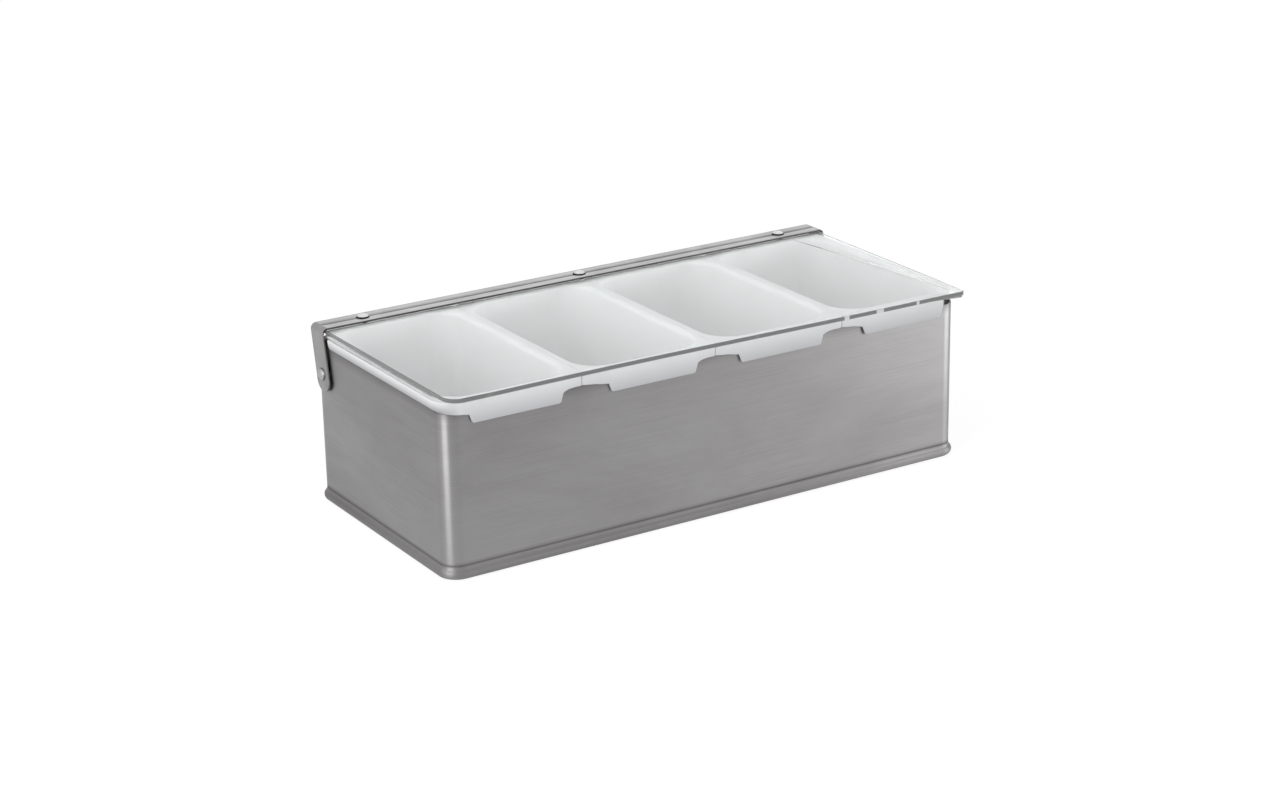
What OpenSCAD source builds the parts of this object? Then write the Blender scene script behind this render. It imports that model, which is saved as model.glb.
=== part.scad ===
// Four-compartment condiment dispenser: a stainless housing, four lift-out plastic
// inserts that hang over its front edge, and a clear lid on a riveted hinge strip.
// The front faces -Y, +Z is up, and the origin is the middle of the flat base.

/* [Housing] */
// Length of the steel wall along X
box_l = 300; // [270:1:330]
// Depth of the steel wall along Y
box_d = 136; // [124:1:150]
// Height of the front and end walls
wall_h = 87.7; // [78:0.1:98]
// Outside radius of the upright corners
corner_r = 9; // [7:0.5:12]
// Thickness of the steel sheet
sheet_t = 0.7; // [0.5:0.1:1.0]
// How far the top edge steps down round the front corners
corner_drop = 4.7; // [2:0.1:5]

/* [Rolled foot] */
// Radius of the hollow sweep where the wall starts to flare
flare_r = 3; // [2:0.5:5]
// Angle at which the flare leaves the wall
flare_a = 45; // [35:1:50]
// Outside radius of the rolled bead
bead_r = 2.6; // [2.2:0.1:3.4]
// How far the foot turns in under the base plate
foot_in = 4; // [3:0.5:5]

/* [Inserts] */
// Thickness of the insert walls
insert_t = 1.2; // [0.8:0.1:1.8]
// Thickness of the rim's flat top
rim_t = 1.3; // [1.0:0.1:1.8]
// Thickness of the lip that hangs outside the steel
lip_t = 1.0; // [0.7:0.1:1.3]
// Depth of the lip below the rim's flat top
lip_h = 3.3; // [2.5:0.1:5]
// Extra depth of the lip along the front
front_lip_h = 2.4; // [1.5:0.1:4]
// Width of the pull tab at its lower edge
tab_w = 48; // [40:1:54]
// Depth of the pull tab below the side lip
tab_h = 7; // [5:0.5:9]
// How far the pull tab sits to the right of the insert's middle
tab_shift = 1; // [0:0.5:2]
// Angle at which the pull tab stands off the wall
tab_flare = 5; // [0:1:7]
// Distance from the rear wall's face forward to the end of the left-hand lip
lip_stop = 20; // [19:0.5:30]
// How much each wall draws in from rim to bottom
draft_in = 3.2; // [1.5:0.1:5]
// Radius of the upright corners of the body
body_r = 16; // [12:0.5:18]
// Radius round the bottom
bottom_r = 14; // [9:0.5:16]

/* [Lid] */
// Thickness of the clear panel
lid_t = 2; // [1.5:0.25:4]
// How far the panel reaches in front of the steel wall
lid_front = 7.1; // [4:0.1:10]
// How far the panel stays inside the ends of the steel wall
lid_inset = 1.3; // [0.8:0.1:3]
// Radius of the panel's front left corner
lid_corner_r = 8; // [5:0.5:12]
// Radius of the panel's front right corner
lid_corner_right_r = 2; // [1:0.5:12]

/* [Hinge] */
// Width of the hinge strip
strip_w = 13.2; // [11:0.1:15]
// Thickness of the hinge strip
strip_t = 1.0; // [0.8:0.1:1.4]
// Distance from the rear wall's face forward to the strip's rear edge
strip_back = 2.5; // [2:0.1:4]
// Outside radius of the bends at the strip's ends
bend_r = 3; // [1.8:0.1:4]
// Distance from the rear wall's face forward to the pivot axis
pivot_inset = 12.7; // [11:0.1:14.5]
// Distance from the lid's underside down to the pivot axis
pivot_drop = 21.1; // [19.5:0.1:24]
// How far the ear reaches below the pivot axis
ear_low = 9; // [7.5:0.1:10]
// Distance from the end wall's face in to the outer lid rivet
rivet_end = 24; // [15:0.5:40]

/* [Rivets] */
// Shank radius of the lid rivets
rivet_r = 1.6; // [1.2:0.1:2]
// Head radius of the lid rivets
rivet_head_r = 3.5; // [3:0.1:4]
// Head height of the lid rivets
rivet_head_h = 1.5; // [1:0.1:2]
// Shank radius of the pivot rivets
pivot_r = 2.0; // [1.5:0.1:2.5]
// Head radius of the pivot rivets
pivot_head_r = 3.4; // [3:0.1:4]
// Head height of the pivot rivets
pivot_head_h = 1.6; // [1:0.1:2]

/* [Hidden] */

$fn = 64;
hull_fn = 32;            // facets round a hull's own children
arc_steps = 8;           // chords in one bend of an outline
insert_count = 4;        // one for each insert node
cut = 1;                 // overrun of every cut

// Clearances
seat_gap = 0.05;         // between pieces that lie on each other
tail_gap = 0.25;         // between the rims and the closed lid's rivet tails
lip_gap = 0.2;           // between the lip and the steel's outside
body_gap = 0.85;         // between the steel's inside and an insert's body
side_gap = 0.3;          // between neighbouring inserts
tuck_gap = 0.3;          // between the steel's inside and a rim that stays within it
ear_gap = 0.8;           // between the wall's face and the ear
run_gap = 0.05;          // between a shank and its hole, all round
face_gap = 0.1;          // between an ear and what it turns against
swing_gap = 0.4;         // between the rear wall and the swing of the lid's rivet tails

// Foot: the bead hangs from the flare, so both radii set its height and its reach
foot_h = flare_r*sin(flare_a) + bead_r*(1 + sin(flare_a));
bead_x = (flare_r + bead_r)*(1 - cos(flare_a)) - bead_r;

// Base plate: an edge that lies on the turned-in foot and a panel that drops to the table
base_edge_in = 1.0;      // from the wall's face in to the plate's edge
base_edge_z = sheet_t + seat_gap;
drop_gap = 0.3;          // from the foot's edge in to the drop
drop_in = foot_in + drop_gap;

// Inserts: the rim's flat top lies across the steel's edge
insert_z = sheet_t + seat_gap;
rim_z = wall_h + seat_gap;
rim_top = rim_z + rim_t;
lip_z = rim_z - lip_h;
rim_reach = body_gap + sheet_t + lip_gap + lip_t;
rim_left = -box_l/2 - lip_gap - lip_t;
rim_front = -box_d/2 - lip_gap - lip_t;
insert_pitch = (side_gap - 2*rim_left)/insert_count;
rim_half = (insert_pitch - side_gap)/2;
rim_round = 0.8;         // rounding of the rim's top edge
rim_corner_r = 2;        // plan radius of the front corners between inserts
rim_rear_r = 9;          // plan radius of the rear corners
wrap_r = corner_r + lip_gap + lip_t;
tuck_x = box_l/2 - sheet_t - tuck_gap;
lip_rise = 1.2;          // how much the front lip shortens towards its ends
tab_slant = 1.2;         // how much wider the tab is at its root, each side
tab_corner_r = 1.2;      // rounding of the tab's lower corners
lip_end_r = 4;           // rounding of the left-hand lip's rear end

// Rivets: each tail closes over a washer, the lid's ones under the panel
tail_r = 2.6;
tail_h = 0.5;
washer_r = 3.0;
washer_t = 0.5;
tail_low = tail_h + washer_t + seat_gap;
spacer_r = 4.2;
pivot_washer_r = 3.6;
pivot_washer_t = 0.8;
pivot_tail_r = 3.0;
pivot_tail_h = 1.0;

// Lid and hinge
lid_z = rim_top + tail_gap + tail_low;
strip_z = lid_z + lid_t;
strip_top = strip_z + strip_t;
bend_z = strip_top - bend_r;
strip_rear = box_d/2 - strip_back;
strip_mid = strip_rear - strip_w/2;
rivet_pitch = box_l/2 - rivet_end;
pivot_y = box_d/2 - pivot_inset;
pivot_z = lid_z - pivot_drop;
ear_in = box_l/2 + ear_gap;
ear_out = ear_in + strip_t;
flat_half = ear_out - bend_r;
ear_lean = atan((strip_mid - pivot_y)/(bend_z - pivot_z));
ear_w = strip_w*cos(ear_lean);
lid_rear_gap = 0.5;      // from the strip's rear edge to the panel's
lid_rear_r = 2;          // plan radius of the panel's rear corners
lid_side = box_l/2 - lid_inset;
lid_rear = strip_rear - lid_rear_gap;
groove_w = 4;            // width of the pressed line along the strip
groove_h = 0.25;         // depth of that line
groove_stop = 4;         // from the line's end to the bend

// The rims end where the lid's rivet tails, swinging back, would reach them, and the
// rear wall stays below the same swing
swing_r = pivot_drop - tail_low;
rim_rear_share = 0.65;
rim_rear = pivot_y + rim_rear_share*sqrt(pow(swing_r, 2) - pow(swing_r - tail_gap, 2));
rear_h = pivot_z + sqrt(pow(swing_r - swing_gap, 2) - pow(pivot_inset, 2));

steel = "#a9aaab";
steel_bright = "#c6c7c8";
plastic = "#e6e8e8";
acrylic = [0.86, 0.9, 0.9, 0.45];

// Points of an arc about [x, y] from angle a0 to a1, in a number of chords
function arc(x, y, r, a0, a1, chords = arc_steps) =
    [for (i = [0 : chords]) let (a = a0 + (a1 - a0)*i/chords)
        [x + r*cos(a), y + r*sin(a)]];

// Outline of a rectangle with its own radius at each corner: front left, front right, rear
function corner_box(x0, x1, y0, y1, r_fl, r_fr, r_rear) = concat(
    arc(x0 + r_fl, y0 + r_fl, r_fl, 180, 270),
    arc(x1 - r_fr, y0 + r_fr, r_fr, 270, 360),
    arc(x1 - r_rear, y1 - r_rear, r_rear, 0, 90),
    arc(x0 + r_rear, y1 - r_rear, r_rear, 90, 180));

// Flat plate centred on x = 0 with true round corners: front left, front right, rear
module plate_outline(half, y0, y1, r_fl, r_fr, r_rear) {
    polygon([[r_fl - half, y0], [half - r_fr, y0], [half, y0 + r_fr],
             [half, y1 - r_rear], [half - r_rear, y1], [r_rear - half, y1],
             [-half, y1 - r_rear], [-half, y0 + r_fl]]);
    translate([r_fl - half, y0 + r_fl]) circle(r_fl);
    translate([half - r_fr, y0 + r_fr]) circle(r_fr);
    for (side = [-1, 1])
        translate([side*(half - r_rear), y1 - r_rear]) circle(r_rear);
}

// Sweeps a section, x outwards and y up, round the housing's outline
module round_housing() {
    for (k = [0 : 3]) {
        half = k % 2 == 0 ? [box_l/2, box_d/2] : [box_d/2, box_l/2];
        run = half[1] - corner_r;
        rotate(90*k) {
            translate([half[0], run, 0]) rotate([90, 0, 0]) linear_extrude(2*run) children();
            translate([half[0] - corner_r, run, 0])
                rotate_extrude(angle = 90) translate([corner_r, 0]) children();
        }
    }
}

// Section of the sheet: upright wall, hollow flare, bead, and foot turned in at the bottom
module wall_section() {
    outside = concat(
        [[0, wall_h]],
        arc(flare_r, foot_h, flare_r, 180, 180 + flare_a),
        arc(bead_x, bead_r, bead_r, flare_a, -90),
        [[-foot_in, 0]]);
    inside = concat(
        [[-foot_in, sheet_t]],
        arc(bead_x, bead_r, bead_r - sheet_t, -90, flare_a),
        arc(flare_r, foot_h, flare_r + sheet_t, 180 + flare_a, 180),
        [[-sheet_t, wall_h]]);
    polygon(concat(outside, inside));
}

// Takes the rear wall and corners down, clear of the swinging lid
module rear_cut() {
    slope_y = box_d/2 - corner_r;
    translate([-box_l/2 - cut, 0, 0]) rotate([90, 0, 90]) linear_extrude(box_l + 2*cut)
        polygon([[slope_y, wall_h], [box_d/2, rear_h], [box_d/2 + cut, rear_h],
                 [box_d/2 + cut, wall_h + cut], [slope_y, wall_h + cut]]);
}

// Steps the top edge down round the front corners, where the sheet is bent
module corner_cut() {
    for (side = [-1, 1])
        translate([side*(box_l/2 - corner_r), -box_d/2 - cut, wall_h - corner_drop])
            mirror([side < 0 ? 1 : 0, 0, 0])
                cube([corner_r + cut, corner_r + cut, corner_drop + cut]);
}

module housing_wall() {
    color(steel) difference() {
        round_housing() wall_section();
        rear_cut();
        corner_cut();
        translate([-box_l/2 - cut, pivot_y, pivot_z])
            rotate([0, 90, 0]) cylinder(r = pivot_r + run_gap, h = box_l + 2*cut);
    }
}

// Outline of the base plate at a distance in from the wall's face
module base_outline(inset) {
    plate_outline(box_l/2 - inset, inset - box_d/2, box_d/2 - inset,
                  corner_r - inset, corner_r - inset, corner_r - inset);
}

module base_plate() {
    color(steel) {
        linear_extrude(sheet_t) base_outline(drop_in);
        linear_extrude(base_edge_z + sheet_t) difference() {
            base_outline(drop_in);
            base_outline(drop_in + sheet_t);
        }
        translate([0, 0, base_edge_z]) linear_extrude(sheet_t) difference() {
            base_outline(base_edge_in);
            base_outline(drop_in + sheet_t);
        }
    }
}

// Closed form of an insert's body, drawn in all round by shrink and carried up by rise
module insert_body(shrink, rise) {
    half_top = rim_half - rim_reach - shrink;
    half_low = half_top - draft_in;
    front_top = rim_front + rim_reach + shrink;
    rear_top = rim_rear - rim_reach - shrink;
    r_top = body_r - shrink;
    r_low = bottom_r - shrink;
    hull() {
        for (side = [-1, 1], y = [front_top + r_top, rear_top - r_top])
            translate([side*(half_top - r_top), y, rim_z])
                cylinder(r = r_top, h = rim_t + rise, $fn = hull_fn);
        for (side = [-1, 1],
             y = [front_top + draft_in + r_low, rear_top - draft_in - r_low])
            translate([side*(half_low - r_low), y, insert_z + shrink + r_low])
                sphere(r = r_low, $fn = hull_fn);
    }
}

// Rim with a rounded top edge; x0 and x1 are its ends, from the insert's middle
module rim_form(x0, x1, r_fl, r_fr) {
    hull() {
        translate([0, 0, lip_z]) linear_extrude(rim_top - rim_round - lip_z)
            polygon(corner_box(x0, x1, rim_front, rim_rear, r_fl, r_fr, rim_rear_r));
        translate([0, 0, rim_top - rim_round]) linear_extrude(rim_round)
            polygon(corner_box(x0 + rim_round, x1 - rim_round,
                               rim_front + rim_round, rim_rear - rim_round,
                               r_fl - rim_round, r_fr - rim_round, rim_rear_r - rim_round));
    }
}

// Room under a rim for the steel, which leaves a lip outside the front wall and,
// on the first insert, round the corner and along the end
module steel_room(x0, x1, r_fl, first, last) {
    left = first ? x0 + lip_t : x0 - cut;
    r_in = first ? r_fl - lip_t : lip_t;
    translate([0, 0, lip_z - cut]) linear_extrude(rim_z - lip_z + cut) {
        polygon(corner_box(left, x1 + cut, rim_front + lip_t, rim_rear + cut,
                           r_in, lip_t, rim_rear_r));
        if (first)
            translate([left, box_d/2 - lip_stop]) square([rim_half, lip_stop]);
        if (last)
            translate([x1 - corner_r, rim_front - cut])
                square([corner_r + cut, rim_rear - rim_front]);
    }
}

// Takes the end lip off behind its rounded end, where the ear swings
module lip_stop_cut(x0, tuck) {
    stop_y = box_d/2 - lip_stop;
    translate([x0 - cut, 0, 0]) rotate([90, 0, 90]) linear_extrude(tuck - x0 + cut)
        polygon(concat(arc(stop_y - lip_end_r, lip_z + lip_end_r, lip_end_r, -90, 0),
                       [[stop_y, rim_top + cut], [rim_rear + cut, rim_top + cut],
                        [rim_rear + cut, lip_z - cut], [stop_y - lip_end_r, lip_z - cut]]));
}

// Deeper lip along the front and the pull tab below it
module front_lip(x0, x1, r_fl, r_fr) {
    low_z = lip_z - front_lip_h;
    half_tab = tab_w/2 + tab_slant;
    translate([0, rim_front + lip_t, 0]) rotate([90, 0, 0]) linear_extrude(lip_t)
        polygon([[x0 + r_fl, rim_z], [x0 + r_fl, low_z + lip_rise],
                 [tab_shift - half_tab, low_z], [tab_shift + half_tab, low_z],
                 [x1 - r_fr, low_z + lip_rise], [x1 - r_fr, rim_z]]);
    translate([tab_shift, rim_front + lip_t, lip_z]) rotate([90 - tab_flare, 0, 0])
        linear_extrude(lip_t)
            polygon(concat(
                [[-half_tab, 0]],
                arc(tab_corner_r - tab_w/2, tab_corner_r - tab_h, tab_corner_r, 190, 270),
                arc(tab_w/2 - tab_corner_r, tab_corner_r - tab_h, tab_corner_r, 270, 350),
                [[half_tab, 0]]));
}

// One insert, numbered from the left; the first wraps the housing's corner, and the
// last keeps its end rim within the steel
module insert_at(number) {
    first = number == 1;
    last = number == insert_count;
    middle = rim_left + rim_half + (number - 1)*insert_pitch;
    x1 = last ? tuck_x - middle : rim_half;
    r_fl = first ? wrap_r : rim_corner_r;
    r_fr = last ? corner_r : rim_corner_r;
    color(plastic) translate([middle, 0, 0]) {
        difference() {
            union() {
                insert_body(0, 0);
                difference() {
                    rim_form(-rim_half, x1, r_fl, r_fr);
                    steel_room(-rim_half, x1, r_fl, first, last);
                    if (first) lip_stop_cut(-rim_half, -tuck_x - middle);
                }
            }
            insert_body(insert_t, cut);
        }
        front_lip(-rim_half, x1, r_fl, r_fr);
    }
}

// Places a child at a lid rivet, on the lid's underside
module at_lid_rivet(number) {
    translate([(number - 2)*rivet_pitch, strip_mid, lid_z]) children();
}

module lid_panel() {
    color(acrylic) difference() {
        translate([0, 0, lid_z]) linear_extrude(lid_t)
            plate_outline(lid_side, -box_d/2 - lid_front, lid_rear,
                          lid_corner_r, lid_corner_right_r, lid_rear_r);
        for (number = [1 : 3]) at_lid_rivet(number)
            translate([0, 0, -cut]) cylinder(r = rivet_r + run_gap, h = lid_t + 2*cut);
    }
}

// Strip from the side, y and z: the ear leans forward to the pivot and ends half round
module strip_side() {
    end_h = ear_w/2 - ear_low;
    polygon(concat(
        [[strip_rear, strip_top + cut], [strip_rear - strip_w, strip_top + cut],
         [strip_rear - strip_w, bend_z]],
        arc(pivot_y + end_h*sin(ear_lean), pivot_z + end_h*cos(ear_lean), ear_w/2,
            180 - ear_lean, 360 - ear_lean, 2*arc_steps),
        [[strip_rear, bend_z]]));
}

// Strip from the front, x and z: flat on top, with a bend down into each ear
module strip_front() {
    low_z = pivot_z - strip_w;
    r_in = bend_r - strip_t;
    polygon(concat(
        [[-ear_out, low_z]],
        arc(-flat_half, bend_z, bend_r, 180, 90),
        arc(flat_half, bend_z, bend_r, 90, 0),
        [[ear_out, low_z], [ear_in, low_z]],
        arc(flat_half, bend_z, r_in, 0, 90),
        arc(-flat_half, bend_z, r_in, 90, 180),
        [[-ear_in, low_z]]));
}

module hinge_strip() {
    groove_half = flat_half - groove_stop;
    color(steel_bright) difference() {
        intersection() {
            translate([0, strip_rear + cut, 0]) rotate([90, 0, 0])
                linear_extrude(2*strip_w) strip_front();
            translate([-ear_out - cut, 0, 0]) rotate([90, 0, 90])
                linear_extrude(2*(ear_out + cut)) strip_side();
        }
        for (number = [1 : 3]) at_lid_rivet(number)
            cylinder(r = rivet_r + run_gap, h = lid_t + strip_t + cut);
        translate([-ear_out - cut, pivot_y, pivot_z])
            rotate([0, 90, 0]) cylinder(r = pivot_r + run_gap, h = 2*(ear_out + cut));
        translate([-groove_half, strip_mid, strip_top]) rotate([90, 0, 90])
            linear_extrude(2*groove_half)
                polygon([[-groove_w/2, 0], [0, -groove_h], [groove_w/2, 0],
                         [groove_w/2, cut], [-groove_w/2, cut]]);
    }
}

// Domed head that stands on the plane z = 0
module dome(r, h) {
    ball_r = (r*r + h*h)/(2*h);
    rotate_extrude() intersection() {
        translate([0, h - ball_r]) circle(ball_r);
        square([r, h]);
    }
}

// Flat ring round a shank
module ring(r, shank_r, h) {
    difference() {
        cylinder(r = r, h = h);
        translate([0, 0, -cut]) cylinder(r = shank_r + run_gap, h = h + 2*cut);
    }
}

module lid_rivet(number) {
    head_z = lid_t + strip_t + seat_gap;
    color(steel_bright) at_lid_rivet(number) {
        translate([0, 0, head_z]) dome(rivet_head_r, rivet_head_h);
        translate([0, 0, -tail_low]) cylinder(r = rivet_r, h = tail_low + head_z);
        translate([0, 0, -tail_low]) cylinder(r = tail_r, h = tail_h);
    }
}

module lid_washer(number) {
    color(steel) at_lid_rivet(number)
        translate([0, 0, -seat_gap - washer_t]) ring(washer_r, rivet_r, washer_t);
}

// Places a child on the wall's face at a pivot, its z axis pointing outwards
module at_pivot(side) {
    translate([side*box_l/2, pivot_y, pivot_z]) rotate([0, 90*side, 0]) children();
}

module pivot_rivet(side) {
    head_z = ear_gap + strip_t + face_gap;
    tail_z = sheet_t + pivot_washer_t + 2*seat_gap;
    color(steel_bright) at_pivot(side) {
        translate([0, 0, head_z]) dome(pivot_head_r, pivot_head_h);
        translate([0, 0, -tail_z]) cylinder(r = pivot_r, h = head_z + tail_z);
        translate([0, 0, -tail_z - pivot_tail_h]) cylinder(r = pivot_tail_r, h = pivot_tail_h);
    }
}

module pivot_spacer(side) {
    color(steel) at_pivot(side) translate([0, 0, seat_gap])
        ring(spacer_r, pivot_r, ear_gap - seat_gap - face_gap);
}

module pivot_washer(side) {
    color(steel) at_pivot(side) translate([0, 0, -sheet_t - seat_gap - pivot_washer_t])
        ring(pivot_washer_r, pivot_r, pivot_washer_t);
}

housing_wall();
base_plate();
insert_at(1);  // insert_1
insert_at(2);  // insert_2
insert_at(3);  // insert_3
insert_at(4);  // insert_4
lid_panel();
hinge_strip();
lid_rivet(1);  // lid_rivet_1
lid_rivet(2);  // lid_rivet_2
lid_rivet(3);  // lid_rivet_3
lid_washer(1);  // lid_washer_1
lid_washer(2);  // lid_washer_2
lid_washer(3);  // lid_washer_3
pivot_rivet(-1);  // pivot_rivet_left
pivot_rivet(1);  // pivot_rivet_right
pivot_spacer(-1);  // pivot_spacer_left
pivot_spacer(1);  // pivot_spacer_right
pivot_washer(-1);  // pivot_washer_left
pivot_washer(1);  // pivot_washer_right
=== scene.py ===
from math import atan2, cos, radians, sin, sqrt

import bmesh
import bpy
from mathutils import Matrix, Vector


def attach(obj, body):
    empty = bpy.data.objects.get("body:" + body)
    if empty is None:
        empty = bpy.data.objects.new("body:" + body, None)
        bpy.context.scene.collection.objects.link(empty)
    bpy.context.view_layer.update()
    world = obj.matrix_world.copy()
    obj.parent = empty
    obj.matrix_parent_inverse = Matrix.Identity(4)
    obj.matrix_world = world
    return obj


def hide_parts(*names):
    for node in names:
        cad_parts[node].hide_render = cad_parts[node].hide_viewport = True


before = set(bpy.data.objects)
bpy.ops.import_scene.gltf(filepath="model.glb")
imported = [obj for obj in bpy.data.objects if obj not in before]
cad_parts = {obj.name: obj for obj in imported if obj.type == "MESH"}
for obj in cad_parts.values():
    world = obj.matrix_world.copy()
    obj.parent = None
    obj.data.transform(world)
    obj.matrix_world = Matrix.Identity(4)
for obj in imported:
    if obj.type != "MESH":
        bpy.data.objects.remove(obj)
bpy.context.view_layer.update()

mm = 0.001  # sizes are in mm, but for the camera's and the studio's, and the scene is in metres
same = 0.01  # points closer than this are one point
overrun = 10  # added to a cutter's length, so that it goes right through


# Selecting, moving and finishing

def mmPoint(*values):
    return Vector(values)*mm


def startPiece(name, x, y, z):
    # a new piece that is one point, left in edit mode with the point selected
    bpy.ops.object.select_all(action="DESELECT")
    bpy.ops.mesh.primitive_plane_add(size=mm, location=mmPoint(x, y, z))
    piece = bpy.context.object
    piece.name = piece.data.name = name
    bpy.ops.object.transform_apply(location=True, rotation=False, scale=False)
    bpy.ops.object.mode_set(mode="EDIT")
    bpy.ops.mesh.select_mode(type="VERT")
    pickAll()
    bpy.ops.mesh.merge(type="CENTER")
    return piece


def pick(kind, test, narrow=False):
    # selects what passes test(middle in mm, a face's normal or an edge's direction), of
    # the whole mesh or, with narrow, of what is selected
    bpy.ops.mesh.select_mode(type=kind)
    mesh = bmesh.from_edit_mesh(bpy.context.object.data)
    items = {"VERT": mesh.verts, "EDGE": mesh.edges, "FACE": mesh.faces}[kind]
    items = [item for item in items if item.select or not narrow]
    bpy.ops.mesh.select_all(action="DESELECT")
    for item in items:
        if kind == "VERT":
            middle, way = item.co, item.normal
        elif kind == "EDGE":
            middle = (item.verts[0].co + item.verts[1].co)/2
            way = (item.verts[1].co - item.verts[0].co).normalized()
        else:
            middle, way = item.calc_center_median(), item.normal
        if test(middle/mm, way):
            item.select_set(True)
    mesh.select_flush_mode()
    bmesh.update_edit_mesh(bpy.context.object.data)


def pickAll():
    bpy.ops.mesh.select_all(action="SELECT")


def roundOff(kind, radius, steps):
    bpy.ops.mesh.bevel(offset=radius*mm, segments=steps, affect=kind, clamp_overlap=False)


def extrudeBy(x, y, z):
    bpy.ops.mesh.extrude_region_move(TRANSFORM_OT_translate={"value": mmPoint(x, y, z)})


def drawChain(points, closed=True):
    # extrudes one point after another, from the single point of a new piece
    for here, there in zip(points, points[1:]):
        extrudeBy(*(Vector(there) - Vector(here)))
    if closed:
        pick("VERT", lambda p, n: min((p - Vector(points[0])).length,
                                      (p - Vector(points[-1])).length) < same)
        bpy.ops.mesh.edge_face_add()


def useModifier(kind, **settings):
    bpy.ops.object.modifier_add(type=kind)
    modifier = bpy.context.object.modifiers[-1]
    for name, value in settings.items():
        setattr(modifier, name, value)
    bpy.ops.object.modifier_apply(modifier=modifier.name)


def cutRound(radius, depth, place, turn=(0, 0, 0)):
    # bores the active piece with a cylinder
    piece = bpy.context.object
    bpy.ops.object.select_all(action="DESELECT")
    bpy.ops.mesh.primitive_cylinder_add(vertices=48, radius=radius*mm, depth=depth*mm,
                                        location=mmPoint(*place), rotation=turn)
    cutter = bpy.context.object
    bpy.context.view_layer.objects.active = piece
    useModifier("BOOLEAN", operation="DIFFERENCE", object=cutter, solver="EXACT")
    bpy.data.objects.remove(cutter, do_unlink=True)
    piece.select_set(True)


def settle(piece, body, slot, materials, *nodes, smoothUnder=32):
    # smooth shading, materials, the body that it rides on and the nodes that it stands for
    bpy.ops.object.select_all(action="DESELECT")
    piece.select_set(True)
    bpy.context.view_layer.objects.active = piece
    bpy.ops.object.shade_smooth_by_angle(angle=radians(smoothUnder))
    for index, material in enumerate(materials):
        if index < len(piece.data.materials):
            piece.data.materials[index] = material
        else:
            piece.data.materials.append(material)
    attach(piece, body)
    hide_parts(*nodes)


# Camera, set to the photograph's view, in metres

camera = {
    "place": (-0.705443, -1.135351, 0.518503),
    "right": (0.84692, -0.53140, -0.01858),
    "up": (0.19378, 0.27592, 0.94145),
    "lens": 78.74,
}
bpy.ops.object.camera_add(location=camera["place"])
photoCamera = bpy.context.object
photoCamera.name = "photoCamera"
sight = Vector(camera["right"]).cross(Vector(camera["up"]))  # from the object back to the camera
photoCamera.matrix_world = Matrix.Translation(camera["place"]) @ Matrix(
    (camera["right"], camera["up"], sight)).transposed().to_4x4()
photoCamera.data.lens = camera["lens"]
photoCamera.data.sensor_width = 36
photoCamera.data.clip_start = 0.01
bpy.context.scene.camera = photoCamera
print("stage: camera placed")


# Materials

def hexToLinear(hexColour):
    channels = [int(hexColour[start:start + 2], 16)/255 for start in (1, 3, 5)]
    return [c/12.92 if c <= 0.04045 else ((c + 0.055)/1.055)**2.4 for c in channels] + [1]


def addNode(tree, kind, settings=None, links=None):
    # a node with its settings (an input by name or number, or a property) and its links
    node = tree.nodes.new(kind)
    for name, value in (settings or {}).items():
        if isinstance(name, str) and hasattr(node, name):
            setattr(node, name, value)
    for name, value in (settings or {}).items():
        if not (isinstance(name, str) and hasattr(node, name)):
            node.inputs[name].default_value = value
    for name, source in (links or {}).items():
        tree.links.new(source, node.inputs[name])
    return node


def newMaterial(name):
    material = bpy.data.materials.new(name)
    material.use_nodes = True
    material.node_tree.nodes.clear()
    return material, material.node_tree


def patternScale(sizes):
    # what a Mapping node needs for marks of these sizes along X, Y and Z
    return [1/(size*mm) for size in sizes]


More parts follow.
